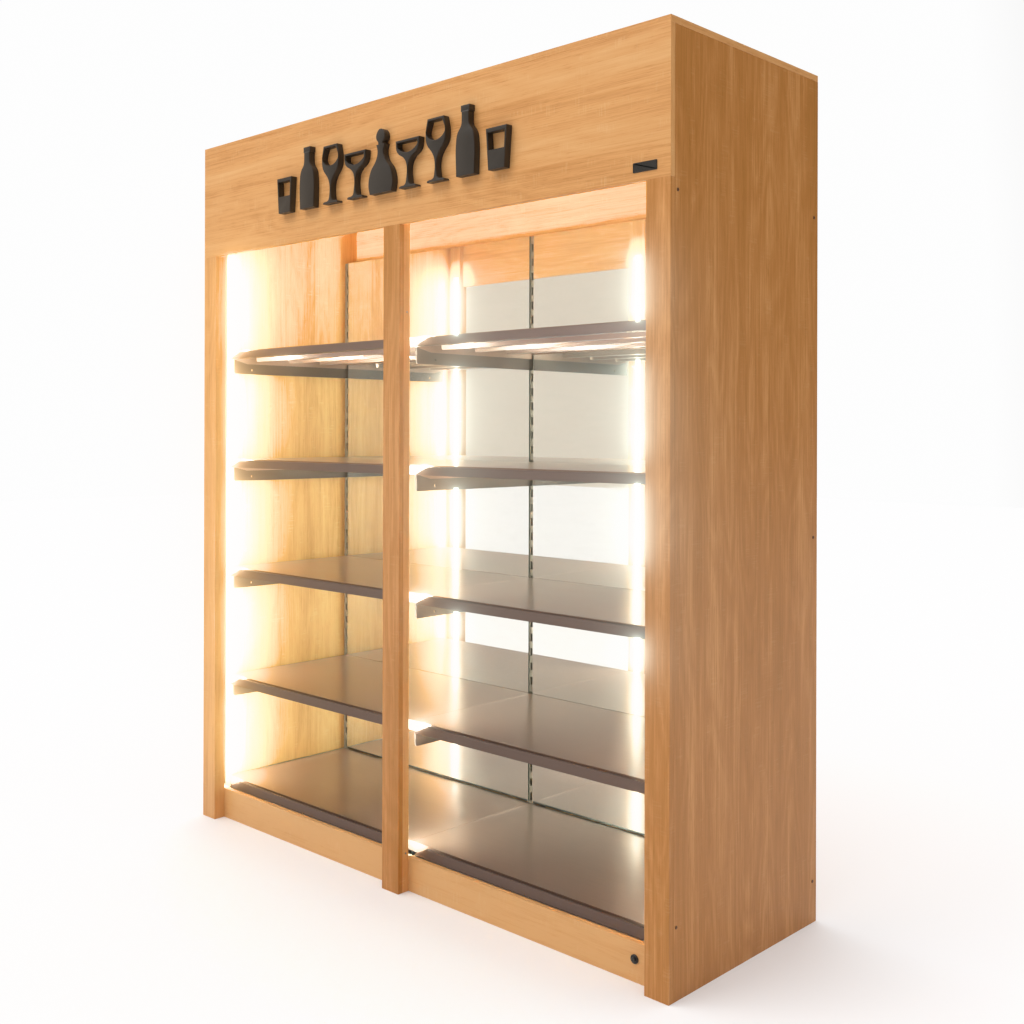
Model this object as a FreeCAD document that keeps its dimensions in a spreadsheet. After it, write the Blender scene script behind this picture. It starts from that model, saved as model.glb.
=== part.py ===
import FreeCAD, Part
import os
import re
import Sketcher

# Lit shop shelf with a wooden surround: two bays of adjustable steel trays in front of mirrors.
# Frame: X to the right seen from the front, Y to the back, Z up, millimetres.
# The origin is the middle of the footprint, on the floor.

doc = FreeCAD.newDocument("liquor_shelf")
sheet = doc.addObject("Spreadsheet::Sheet", "sizes")

SIZES = {
    # Wooden surround
    "overall_width": 2070,
    "overall_depth": 730,
    "overall_height": 2450,
    "board": 18,
    "post_width": 75,
    "fascia_height": 382,
    "batten_depth": 25,
    "plinth_height": 105,
    # Slotted uprights, their legs, feet and crossbars
    "side_gap": 2,
    "upright_width": 30,
    "upright_depth": 60,
    "upright_wall": 2,
    "upright_top": 2092,
    "base_plate": 4,
    "slot_width": 8,
    "slot_length": 27,
    "slot_pitch": 50,
    "first_slot": 152,
    "top_slot_margin": 26,
    "leg_wall": 2,
    "foot_height": 12,
    "foot_flats": 27,
    "foot_pad": 7,
    "foot_nut_flats": 17,
    "foot_stem_radius": 4,
    "foot_stem_length": 26,
    "foot_hole_gap": 0.4,
    "foot_inset": 40,
    "crossbar_depth": 20,
    "crossbar_height": 40,
    "crossbar_wall": 1.5,
    "crossbar_low": 300,
    "crossbar_drop": 70,
    # Mirrors
    "slot_opening": 20,
    "mirror_thickness": 5,
    "channel_wall": 1.2,
    "channel_lip": 6,
    "channel_gap": 0.3,
    "channel_rise": 2,
    # Trays, decks, rails and brackets
    "lip_setback": 70,
    "deck_lip": 102,
    "lowest_shelf_slot": 7,
    "shelf_step": 8,
    "tray_rise": 30,
    "tray_sheet": 1.5,
    "tray_end_gap": 0.5,
    "tray_back_gap": 2,
    "front_return": 8,
    "back_flange": 30,
    "side_flange": 45,
    "flange_gap": 1.5,
    "flange_slope": 60,
    "rib_count": 3,
    "rib_first": 86,
    "rib_pitch": 150,
    "rib_width": 40,
    "rib_height": 34,
    "rib_flare": 8,
    "rib_end": 30,
    "rail_height": 26,
    "rail_depth": 24,
    "rail_lean": 11,
    "rail_hem": 8,
    "rail_wall": 2,
    "rail_back": 20,
    "rail_end_gap": 32,
    "rail_taper": 44,
    "bracket_plate": 2.5,
    "bracket_rise": 6.5,
    "bracket_drop": 53,
    "bracket_front_gap": 1,
    "bracket_chamfer": 6,
    "bracket_hole": 7,
    "bracket_hole_depth": 185,
    "bracket_hole_drop": 37,
    "hook_neck": 12,
    "hook_drop": 8,
    "hook_nose": 4,
    "hook_gap": 0.3,
    # Lighting
    "led_channel_width": 16,
    "led_channel_depth": 8,
    "led_channel_wall": 1.2,
    "led_edge": 12,
    "led_centre_shift": 9,
    "led_rise": 15,
    "led_top": 2080,
    "led_strip_width": 10,
    "led_strip_thickness": 1.6,
    "driver_length": 190,
    "driver_width": 52,
    "driver_height": 32,
    "driver_ear": 14,
    "driver_ear_thickness": 4,
    "driver_setback": 80,
    # Push switch
    "switch_inset": 61,
    "switch_z": 60,
    "bezel_radius": 12,
    "bezel_depth": 4,
    "bezel_bevel": 1.5,
    "barrel_radius": 9,
    "barrel_reach": 8,
    "barrel_gap": 0.3,
    "button_radius": 6.5,
    "button_gap": 0.3,
    "button_proud": 4,
    "button_crown": 1.5,
    "button_flat": 4.5,
    "button_length": 17,
    "button_travel": 3,
    "switch_stop_gap": 1,
    "nut_radius": 14,
    "nut_depth": 6,
    "contact_radius": 11,
    "contact_depth": 24,
}

for row, (alias, size) in enumerate(SIZES.items(), start=1):
    sheet.set("A%d" % row, alias)
    sheet.set("B%d" % row, str(size))
    sheet.setAlias("B%d" % row, alias)
doc.recompute()

SHEET_WORDS = re.compile(r"[a-z]+(?:_[a-z]+)*")
FUNCTIONS = ("floor", "sqrt")
nodes = []


def cells(text):
    """Turn a formula written in plain size names into one that reads the sheet's cells."""
    return SHEET_WORDS.sub(lambda w: w.group() if w.group() in FUNCTIONS else "sizes." + w.group(), text)


def number(text):
    return float(sheet.evalExpression(cells(text)))


# Depths are measured back from the front plane, so most formulas start from these.
FRONT = "-overall_depth/2"
BAY_PITCH = "((overall_width-2*board-2*side_gap-upright_width)/2)"
UPRIGHT_FACE = "(overall_depth-board-upright_depth)"
BATTEN_BACK = "(board+batten_depth)"
SWITCH_X = "(overall_width/2-post_width-switch_inset)"
POST_TOP = "(overall_height-board-fascia_height)"
TRAY_FRONT = "(lip_setback+rail_depth)"
MIRROR_FACE = "(%s-mirror_thickness)" % UPRIGHT_FACE
TRAY_BACK = "(%s-tray_back_gap)" % MIRROR_FACE
TRAY_SEAT = "(tray_rise-tray_sheet)"
CHANNEL_FLOOR = "(deck_lip+tray_rise+channel_rise)"
SLOT_COUNT = "(floor((upright_top-top_slot_margin-first_slot)/slot_pitch)+1)"
BRACKET_FRONT = "(%s+tray_sheet+front_return+bracket_front_gap)" % TRAY_FRONT
SLOT_SPACE = "((slot_width-2*bracket_plate)/3)"
HOOK_SLOT = "(%s-bracket_rise)" % TRAY_SEAT
BAYS = {"left": "-%s/2" % BAY_PITCH, "right": "%s/2" % BAY_PITCH}
AXES = {"left": "-" + BAY_PITCH, "centre": "0", "right": BAY_PITCH}
LEVELS = (1, 2, 3, 4)


def place(obj, x, y, z):
    for axis, text in zip("xyz", (x, y, z)):
        obj.setExpression("Placement.Base." + axis, cells(text))
    return obj


def keep(obj, label):
    """Give a finished sub-part its label and list it for writing."""
    obj.Label = label
    nodes.append(obj)
    return obj


def box(name, corner, size):
    """A board or bar from its lowest corner, with the depth counted from the front plane."""
    obj = doc.addObject("Part::Box", name)
    for prop, text in zip(("Length", "Width", "Height"), size):
        obj.setExpression(prop, cells(text))
    return place(obj, corner[0], FRONT + "+" + corner[1], corner[2])


def new_body(name):
    return doc.addObject("PartDesign::Body", name)


def plane(body, role):
    return next(feature for feature in body.Origin.OriginFeatures if feature.Role == role)


def bind(sketch, constraint, text):
    index = sketch.addConstraint(constraint)
    sketch.setExpression("Constraints[%d]" % index, cells(text))


def outline(sketch, corners):
    """Draw a closed outline of straight edges, each corner held by two formulas."""
    first = sketch.GeometryCount
    spots = [FreeCAD.Vector(number(across), number(up), 0) for across, up in corners]
    for spot, following in zip(spots, spots[1:] + spots[:1]):
        sketch.addGeometry(Part.LineSegment(spot, following), False)
    count = len(corners)
    for i, (across, up) in enumerate(corners):
        sketch.addConstraint(
            Sketcher.Constraint("Coincident", first + i, 2, first + (i + 1) % count, 1))
        bind(sketch, Sketcher.Constraint("DistanceX", -1, 1, first + i, 1, spots[i].x), across)
        bind(sketch, Sketcher.Constraint("DistanceY", -1, 1, first + i, 1, spots[i].y), up)


def circle(sketch, across, up, radius):
    centre = FreeCAD.Vector(number(across), number(up), 0)
    index = sketch.addGeometry(Part.Circle(centre, FreeCAD.Vector(0, 0, 1), number(radius)), False)
    bind(sketch, Sketcher.Constraint("DistanceX", -1, 1, index, 3, centre.x), across)
    bind(sketch, Sketcher.Constraint("DistanceY", -1, 1, index, 3, centre.y), up)
    bind(sketch, Sketcher.Constraint("Radius", index, number(radius)), radius)


def new_sketch(body, role, name, offset=None):
    sketch = body.newObject("Sketcher::SketchObject", name)
    sketch.AttachmentSupport = [(plane(body, role), "")]
    sketch.MapMode = "FlatFace"
    if offset:
        sketch.setExpression("AttachmentOffset.Base.z", cells(offset))
    return sketch


def pad(body, sketch, length, midplane=False, reverse=False):
    feature = body.newObject("PartDesign::Pad", sketch.Name + "_pad")
    feature.Profile = sketch
    feature.setExpression("Length", cells(length))
    feature.Midplane = midplane
    feature.Reversed = reverse
    return feature


def pocket(body, sketch, length, reverse=False):
    """Cut a sketch out of a body and stop if it cut nothing."""
    doc.recompute()
    before = body.Shape.Volume
    feature = body.newObject("PartDesign::Pocket", sketch.Name + "_cut")
    feature.Profile = sketch
    feature.setExpression("Length", cells(length))
    feature.Reversed = reverse
    doc.recompute()
    if body.Shape.Volume >= before:
        raise RuntimeError(sketch.Name + " cuts nothing")
    return feature


def rectangle(low, high):
    return [(low[0], low[1]), (high[0], low[1]), (high[0], high[1]), (low[0], high[1])]


def group(label, members):
    compound = doc.addObject("Part::Compound", label)
    compound.Links = members
    return keep(compound, label)


# Wooden surround

def side_panel(side, x):
    keep(box(side + "_side_panel", (x, "board", "0"),
             ("board", "overall_depth-board", "overall_height-board")), side + "_side_panel")


def post(side, x):
    keep(box(side + "_post", (x, "0", "0"), ("post_width", "board", POST_TOP)), side + "_post")


def batten(side, x, width):
    keep(box(side + "_post_batten", (x, "board", "0"),
             (width, "batten_depth", "overall_height-board")), side + "_post_batten")


def plinth(side):
    """One plinth board from a side panel to the middle, bored for the switch on the right."""
    length = "(overall_width/2-board)"
    body = new_body(side + "_plinth")
    sketch = new_sketch(body, "XZ_Plane", side + "_plinth_face")
    low = "-" + length if side == "left" else "0"
    high = "0" if side == "left" else length
    outline(sketch, rectangle((low, "0"), (high, "plinth_height")))
    if side == "right":
        circle(sketch, SWITCH_X, "switch_z", "barrel_radius+barrel_gap")
    pad(body, sketch, "board", reverse=True)
    keep(place(body, "0", FRONT + "+" + BATTEN_BACK, "0"), side + "_plinth")


side_panel("left", "-overall_width/2")
side_panel("right", "overall_width/2-board")
keep(box("top_panel", ("-overall_width/2", "0", "overall_height-board"),
         ("overall_width", "overall_depth", "board")), "top_panel")
keep(box("back_panel", ("board-overall_width/2", "overall_depth-board", "0"),
         ("overall_width-2*board", "board", "overall_height-board")), "back_panel")
keep(box("fascia_board", ("-overall_width/2", "0", POST_TOP),
         ("overall_width", "board", "fascia_height")), "fascia_board")
post("left", "-overall_width/2")
post("centre", "-post_width/2")
post("right", "overall_width/2-post_width")
batten("left", "board-overall_width/2", "post_width-board")
batten("centre", "-post_width/2", "post_width")
batten("right", "overall_width/2-post_width", "post_width-board")
plinth("left")
plinth("right")


# Slotted uprights on levelling feet

def upright(side, x):
    """Rectangular tube with a base plate and a row of hook slots up its front wall."""
    body = new_body(side + "_upright")
    half = "upright_width/2"
    tube = new_sketch(body, "XY_Plane", side + "_tube")
    outline(tube, rectangle(("-" + half, "0"), (half, "upright_depth")))
    outline(tube, rectangle(("upright_wall-" + half, "upright_wall"),
                            (half + "-upright_wall", "upright_depth-upright_wall")))
    pad(body, tube, "upright_top-foot_height")
    sole = new_sketch(body, "XY_Plane", side + "_sole")
    outline(sole, rectangle(("-" + half, "0"), (half, "upright_depth")))
    circle(sole, "0", "upright_depth/2", "foot_stem_radius+foot_hole_gap")
    pad(body, sole, "base_plate")
    slot = new_sketch(body, "XZ_Plane", side + "_slot")
    low = "first_slot-foot_height-slot_length/2"
    outline(slot, rectangle(("-slot_width/2", low), ("slot_width/2", low + "+slot_length")))
    cut = pocket(body, slot, "upright_wall")
    row = body.newObject("PartDesign::LinearPattern", side + "_slot_row")
    row.Originals = [cut]
    row.Direction = (plane(body, "Z_Axis"), [""])
    row.setExpression("Length", cells("slot_pitch*(%s-1)" % SLOT_COUNT))
    row.setExpression("Occurrences", cells(SLOT_COUNT))
    body.Tip = row
    keep(place(body, x, FRONT + "+" + UPRIGHT_FACE, "foot_height"), side + "_upright")


def base_leg(side, x):
    """Tube leg running forward from the upright under the ends of the decks."""
    body = new_body(side + "_base_leg")
    half = "upright_width/2"
    height = "(deck_lip+%s-foot_height)" % TRAY_SEAT
    tube = new_sketch(body, "XZ_Plane", side + "_leg_tube")
    outline(tube, rectangle(("-" + half, "0"), (half, height)))
    outline(tube, rectangle(("leg_wall-" + half, "leg_wall"),
                            (half + "-leg_wall", height + "-leg_wall")))
    pad(body, tube, "%s-%s" % (UPRIGHT_FACE, BRACKET_FRONT), reverse=True)
    hole = new_sketch(body, "XY_Plane", side + "_leg_hole")
    circle(hole, "0", "foot_inset", "foot_stem_radius+foot_hole_gap")
    pocket(body, hole, "leg_wall", reverse=True)
    keep(place(body, x, FRONT + "+" + BRACKET_FRONT, "foot_height"), side + "_base_leg")


def hexagon(flats):
    half = flats + "/2"
    corner = flats + "/sqrt(3)"
    return [("0", corner), ("-" + half, corner + "/2"), ("-" + half, "-%s/2" % corner),
            ("0", "-" + corner), (half, "-%s/2" % corner), (half, corner + "/2")]


def levelling_foot(name, x, depth):
    """Hexagonal pad, lock nut and stem on one axis."""
    body = new_body(name)
    base = new_sketch(body, "XY_Plane", name + "_base")
    outline(base, hexagon("foot_flats"))
    pad(body, base, "foot_pad")
    nut = new_sketch(body, "XY_Plane", name + "_nut")
    outline(nut, hexagon("foot_nut_flats"))
    pad(body, nut, "foot_height")
    stem = new_sketch(body, "XY_Plane", name + "_stem")
    circle(stem, "0", "0", "foot_stem_radius")
    pad(body, stem, "foot_stem_length")
    return place(body, x, FRONT + "+" + depth, "0")


feet = []
for side, axis in AXES.items():
    upright(side, axis)
    base_leg(side, axis)
    feet.append(levelling_foot(side + "_front_foot", axis, BRACKET_FRONT + "+foot_inset"))
    feet.append(levelling_foot(side + "_back_foot", axis, UPRIGHT_FACE + "+upright_depth/2"))
group("levelling_feet", feet)


# Mirrors on the uprights' faces, in sill channels, with the crossbars behind them. They leave the
# slots open between them.

MIRROR_WIDTH = "(%s-slot_opening)" % BAY_PITCH
CLEAR_WIDTH = "(%s-upright_width)" % BAY_PITCH
CROSSBAR_TOP = "(upright_top-crossbar_drop)"
CROSSBAR_HEIGHTS = ("crossbar_low", "(crossbar_low+%s)/2" % CROSSBAR_TOP, CROSSBAR_TOP)


def mirror(side, x):
    bottom = CHANNEL_FLOOR + "+channel_wall"
    keep(box(side + "_mirror", (x + "-%s/2" % MIRROR_WIDTH, MIRROR_FACE, bottom),
             (MIRROR_WIDTH, "mirror_thickness", "upright_top-(%s)" % bottom)), side + "_mirror")


def sill_channel(side, x):
    """U channel between two uprights, open upwards, round the mirror's bottom edge."""
    body = new_body(side + "_sill")
    inside = "(%s-channel_gap)" % MIRROR_FACE
    outside = "(%s+channel_gap)" % UPRIGHT_FACE
    section = new_sketch(body, "YZ_Plane", side + "_sill_section")
    outline(section, [(inside + "-channel_wall", "0"), (outside + "+channel_wall", "0"),
                      (outside + "+channel_wall", "channel_lip"), (outside, "channel_lip"),
                      (outside, "channel_wall"), (inside, "channel_wall"),
                      (inside, "channel_lip"), (inside + "-channel_wall", "channel_lip")])
    pad(body, section, CLEAR_WIDTH, midplane=True)
    return place(body, x, FRONT, CHANNEL_FLOOR)


def crossbar(name, x, height):
    """Tube from upright to upright, against the mirror's back."""
    body = new_body(name)
    wall = "crossbar_wall"
    section = new_sketch(body, "YZ_Plane", name + "_section")
    outline(section, rectangle(("0", "0"), ("crossbar_depth", "crossbar_height")))
    outline(section, rectangle((wall, wall), ("crossbar_depth-" + wall, "crossbar_height-" + wall)))
    pad(body, section, CLEAR_WIDTH, midplane=True)
    return place(body, x, FRONT + "+" + UPRIGHT_FACE, height)


for side, middle in BAYS.items():
    mirror(side, middle)
group("mirror_channels", [sill_channel(side, middle) for side, middle in BAYS.items()])
group("crossbars", [crossbar("%s_crossbar_%d" % (side, i), middle, height)
                    for side, middle in BAYS.items() for i, height in enumerate(CROSSBAR_HEIGHTS, 1)])


# Trays, decks, price rails and brackets. Their local Y is the depth from the front plane,
# and their local Z starts at the lower edge of the price rail.

TRAY_WIDTH = "(%s-2*tray_end_gap)" % BAY_PITCH
RAIL_WIDTH = "(%s-2*rail_end_gap)" % BAY_PITCH


def level_height(level):
    steps = "(lowest_shelf_slot+shelf_step*%d)" % (level - 1)
    return "first_slot+slot_pitch*%s-%s" % (steps, HOOK_SLOT)


def tray(label, x, z, end_inset):
    """Folded sheet with a returned front, a back flange, inset side flanges and three hat ribs."""
    body = new_body(label)
    top = "tray_rise"
    seat = TRAY_SEAT
    fold = new_sketch(body, "YZ_Plane", label + "_fold")
    outline(fold, [(TRAY_FRONT, "0"), (TRAY_FRONT + "+tray_sheet+front_return", "0"),
                   (TRAY_FRONT + "+tray_sheet+front_return", "tray_sheet"),
                   (TRAY_FRONT + "+tray_sheet", "tray_sheet"), (TRAY_FRONT + "+tray_sheet", seat),
                   (TRAY_BACK, seat), (TRAY_BACK, top), (TRAY_FRONT, top)])
    pad(body, fold, TRAY_WIDTH, midplane=True)
    back = new_sketch(body, "YZ_Plane", label + "_back")
    outline(back, rectangle((TRAY_BACK + "-tray_sheet", top + "-back_flange"), (TRAY_BACK, top)))
    pad(body, back, "%s-2*(%s)" % (BAY_PITCH, end_inset), midplane=True)
    ribs = new_sketch(body, "YZ_Plane", label + "_ribs")
    for i in range(int(number("rib_count"))):
        start = "(%s+rib_first+rib_pitch*%d)" % (TRAY_FRONT, i)
        low = top + "-tray_sheet-rib_height"
        outline(ribs, [(start, seat), (start + "+rib_flare", low), (start + "+rib_width-rib_flare", low),
                       (start + "+rib_width", seat), (start + "+rib_width-tray_sheet", seat),
                       (start + "+rib_width-rib_flare-tray_sheet", low + "+tray_sheet"),
                       (start + "+rib_flare+tray_sheet", low + "+tray_sheet"),
                       (start + "+tray_sheet", seat)])
    pad(body, ribs, BAY_PITCH + "-2*rib_end", midplane=True)
    flange = new_sketch(body, "YZ_Plane", label + "_side", "%s/2-(%s)" % (BAY_PITCH, end_inset))
    front = TRAY_FRONT + "+tray_sheet+front_return"
    outline(flange, [(front, "0"), (front + "+flange_slope", top + "-side_flange"),
                     (TRAY_BACK, top + "-side_flange"), (TRAY_BACK, seat), (front, seat)])
    side = pad(body, flange, "tray_sheet", reverse=True)
    pair = body.newObject("PartDesign::Mirrored", label + "_sides")
    pair.Originals = [side]
    pair.MirrorPlane = (plane(body, "YZ_Plane"), [""])
    body.Tip = pair
    keep(place(body, x, FRONT, z), label)


def price_rail(label, x, z):
    """Channel with a leaning, hemmed front wall; its low back wall lies against the tray's front.

    It stops short of the tray's ends, so that it leaves room for the lights behind the posts, and its
    walls slope down at the ends.
    """
    body = new_body(label)
    section = new_sketch(body, "YZ_Plane", label + "_section")
    start = "lip_setback"
    back = TRAY_FRONT
    lean = "rail_lean*rail_wall/rail_height"
    top = start + "+rail_lean"
    outline(section, [(start, "0"), (back, "0"), (back, "rail_back"), (back + "-rail_wall", "rail_back"),
                      (back + "-rail_wall", "rail_wall"), (start + "+rail_wall+" + lean, "rail_wall"),
                      (top + "+rail_wall-" + lean, "rail_height-rail_wall"),
                      (top + "+rail_hem", "rail_height-rail_wall"), (top + "+rail_hem", "rail_height"),
                      (top, "rail_height")])
    pad(body, section, RAIL_WIDTH, midplane=True)
    slopes = new_sketch(body, "XZ_Plane", label + "_slopes")
    end = "%s/2" % RAIL_WIDTH
    outline(slopes, [(end + "-rail_taper", "rail_height"), (end, "rail_wall"), (end, "rail_height")])
    outline(slopes, [("rail_taper-" + end, "rail_height"), ("-" + end, "rail_wall"), ("-" + end, "rail_height")])
    pocket(body, slopes, TRAY_FRONT)
    keep(place(body, x, FRONT, z), label)


def bracket(name, axis, hand, z):
    """Plate with two hooks that drop behind the upright's slotted wall."""
    body = new_body(name)
    face = UPRIGHT_FACE
    inner = "(%s+upright_wall+hook_gap)" % face
    nose = "(%s+hook_nose)" % inner
    top = TRAY_SEAT
    front = BRACKET_FRONT
    corners = [(front, top), (front, "bracket_chamfer-bracket_drop"),
               (front + "+bracket_chamfer", "-bracket_drop"), (face, "-bracket_drop")]
    for slot in (HOOK_SLOT + "-slot_pitch", HOOK_SLOT):
        seat = slot + "-slot_length/2"
        corners += [(face, seat), (inner, seat), (inner, seat + "-hook_drop"),
                    (nose, seat + "-hook_drop"), (nose, seat + "+hook_neck"),
                    (face, seat + "+hook_neck")]
    corners.append((face, top))
    near = "%s/2" % SLOT_SPACE
    profile = new_sketch(body, "YZ_Plane", name + "_profile", near if hand > 0 else "-" + near)
    outline(profile, corners)
    outline(profile, rectangle(("bracket_hole_depth-bracket_hole/2", "-bracket_hole_drop-bracket_hole/2"),
                               ("bracket_hole_depth+bracket_hole/2", "bracket_hole/2-bracket_hole_drop")))
    pad(body, profile, "bracket_plate", reverse=hand < 0)
    return place(body, axis, FRONT, z)


TRAY_INSET = "%s/2+bracket_plate+flange_gap" % SLOT_SPACE
DECK_INSET = "upright_width/2+flange_gap"
for side, middle in BAYS.items():
    tray(side + "_deck", middle, "deck_lip", DECK_INSET)
    price_rail(side + "_deck_rail", middle, "deck_lip")
    for level in LEVELS:
        tray("%s_tray_%d" % (side, level), middle, level_height(level), TRAY_INSET)
        price_rail("%s_rail_%d" % (side, level), middle, level_height(level))
for level in LEVELS:
    spots = (("left", 1), ("centre", -1), ("centre", 1), ("right", -1))
    group("brackets_%d" % level,
          [bracket("bracket_%d_%d" % (level, i), AXES[side], hand, level_height(level))
           for i, (side, hand) in enumerate(spots, 1)])


# Lighting behind the posts and its driver under the top panel

def led_light(side, x):
    """Aluminium channel on the back of a batten, open to the back, with a strip on its floor."""
    half = "led_channel_width/2"
    low = "plinth_height+led_rise"
    body = new_body(side + "_led_channel")
    section = new_sketch(body, "XY_Plane", side + "_led_section")
    outline(section, [("-" + half, "0"), (half, "0"), (half, "led_channel_depth"),
                      (half + "-led_channel_wall", "led_channel_depth"),
                      (half + "-led_channel_wall", "led_channel_wall"),
                      ("led_channel_wall-" + half, "led_channel_wall"),
                      ("led_channel_wall-" + half, "led_channel_depth"),
                      ("-" + half, "led_channel_depth")])
    pad(body, section, "led_top-(%s)" % low)
    keep(place(body, x, FRONT + "+" + BATTEN_BACK, low), side + "_led_channel")
    keep(box(side + "_led_strip", (x + "-led_strip_width/2", BATTEN_BACK + "+led_channel_wall", low),
             ("led_strip_width", "led_strip_thickness", "led_top-(%s)" % low)), side + "_led_strip")


def driver():
    """Closed supply box with a screw ear at each end, under the top panel."""
    body = new_body("led_driver")
    half = "driver_length/2"
    case = new_sketch(body, "XY_Plane", "driver_case")
    outline(case, rectangle(("-" + half, "0"), (half, "driver_width")))
    pad(body, case, "driver_height", reverse=True)
    ears = new_sketch(body, "XY_Plane", "driver_ears")
    outline(ears, rectangle(("-%s-driver_ear" % half, "0"), (half + "+driver_ear", "driver_width")))
    pad(body, ears, "driver_ear_thickness", reverse=True)
    keep(place(body, "0", FRONT + "+driver_setback", "overall_height-board"), "led_driver")


LED_SIDE = "(overall_width/2-post_width+led_edge)"
led_light("left", "-" + LED_SIDE)
led_light("centre", "led_centre_shift")
led_light("right", LED_SIDE)
driver()


# Push switch in the right plinth. Its turned pieces are drawn as radius across and depth up.

BORE = "(button_radius+button_gap)"
BARREL_END = "(board+barrel_reach)"
BUTTON_FACE = "(-bezel_depth-button_proud)"
STOP = "(%s+button_length+button_travel+switch_stop_gap)" % BUTTON_FACE


def turned(label, corners):
    """A piece turned about the switch's axis; depth runs back from the plinth's front."""
    body = new_body(label)
    half = new_sketch(body, "XY_Plane", label + "_half")
    outline(half, corners)
    turn = body.newObject("PartDesign::Revolution", label + "_turn")
    turn.Profile = half
    turn.ReferenceAxis = (plane(body, "Y_Axis"), [""])
    turn.Angle = 360
    keep(place(body, SWITCH_X, FRONT + "+" + BATTEN_BACK, "switch_z"), label)


turned("switch_bezel", [
    (BORE, "-bezel_depth"), ("bezel_radius-bezel_bevel", "-bezel_depth"),
    ("bezel_radius", "bezel_bevel-bezel_depth"), ("bezel_radius", "0"), ("barrel_radius", "0"),
    ("barrel_radius", BARREL_END), (BORE, BARREL_END)])
turned("switch_button", [
    ("0", BUTTON_FACE), ("button_flat", BUTTON_FACE), ("button_radius", BUTTON_FACE + "+button_crown"),
    ("button_radius", BUTTON_FACE + "+button_length"), ("0", BUTTON_FACE + "+button_length")])
turned("switch_body", [
    ("0", STOP), (BORE + "-button_gap", STOP), (BORE + "-button_gap", BARREL_END),
    ("barrel_radius+barrel_gap", BARREL_END), ("barrel_radius+barrel_gap", "board"),
    ("nut_radius", "board"), ("nut_radius", "board+nut_depth"), ("contact_radius", "board+nut_depth"),
    ("contact_radius", "board+contact_depth"), ("0", "board+contact_depth")])

# Build, check every object and write one file for each sub-part

doc.recompute()
for obj in doc.Objects:
    if "Invalid" in obj.State or "Error" in obj.State:
        raise RuntimeError("%s failed: %s" % (obj.Label, obj.State))
for obj in nodes:
    if obj.Shape.isNull() or not obj.Shape.isValid():
        raise RuntimeError(obj.Label + " has no valid shape")
os.makedirs("parts", exist_ok=True)
for obj in nodes:
    obj.Shape.exportStep("parts/%s.step" % obj.Label)
print(len(nodes), "nodes,", sum(len(obj.Shape.Solids) for obj in nodes), "solids")
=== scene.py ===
import math

import bmesh
import bpy
from bpy.props import FloatProperty, FloatVectorProperty, PointerProperty
from mathutils import Euler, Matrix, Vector


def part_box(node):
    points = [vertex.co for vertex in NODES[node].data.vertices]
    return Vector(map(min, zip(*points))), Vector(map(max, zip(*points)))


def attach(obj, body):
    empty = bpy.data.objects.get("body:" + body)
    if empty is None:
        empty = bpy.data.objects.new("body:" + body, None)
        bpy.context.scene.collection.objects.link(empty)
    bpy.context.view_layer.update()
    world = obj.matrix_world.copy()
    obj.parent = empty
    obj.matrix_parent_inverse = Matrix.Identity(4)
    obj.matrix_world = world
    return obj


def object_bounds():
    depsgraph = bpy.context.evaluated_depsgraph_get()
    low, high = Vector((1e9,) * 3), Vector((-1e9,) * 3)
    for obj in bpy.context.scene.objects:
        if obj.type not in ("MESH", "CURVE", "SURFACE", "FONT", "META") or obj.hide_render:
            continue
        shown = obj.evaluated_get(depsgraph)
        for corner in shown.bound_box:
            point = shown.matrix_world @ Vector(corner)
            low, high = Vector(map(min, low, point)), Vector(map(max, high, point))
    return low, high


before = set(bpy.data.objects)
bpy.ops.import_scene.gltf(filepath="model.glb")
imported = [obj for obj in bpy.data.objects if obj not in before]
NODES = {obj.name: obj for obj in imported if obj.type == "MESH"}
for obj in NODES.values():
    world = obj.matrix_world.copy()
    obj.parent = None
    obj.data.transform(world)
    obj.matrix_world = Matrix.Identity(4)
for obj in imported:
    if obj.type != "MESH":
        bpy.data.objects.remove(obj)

bl_info = {
    "name": "Lit Liquor Shelf",
    "version": (1, 0, 0),
    "blender": (4, 5, 0),
    "location": "View3D > Sidebar > Shelf",
    "description": "Gives a two-bay shop shelf its finishes, lamps, sign, plate and screws",
    "category": "Add Mesh",
}

MM = 0.001
CAD_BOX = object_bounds()

# Names of like pieces
SIDES = ("left", "centre", "right")
BAYS = ("left", "right")
LEVELS = (1, 2, 3, 4)
TRAYS = [bay + "_deck" for bay in BAYS]
TRAYS += ["%s_tray_%d" % (bay, level) for bay in BAYS for level in LEVELS]
RAILS = [bay + "_deck_rail" for bay in BAYS]
RAILS += ["%s_rail_%d" % (bay, level) for bay in BAYS for level in LEVELS]

# Heights of the screws above the floor, in millimetres
CAP_HEIGHTS_FRONT = (185, 2020)
CAP_HEIGHTS_BACK = (120, 1113, 2036)
BATTEN_SCREW_HEIGHTS = (119, 1782)

# A screw head's corners, and its rings from rim to recess: width as a share of the radius, and rise
# as a share of the head's height
HEAD_SIDES = 24
HEAD_RINGS = ((0.16, 0.3), (0.34, 0.1), (0.12, -0.9))

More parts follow.
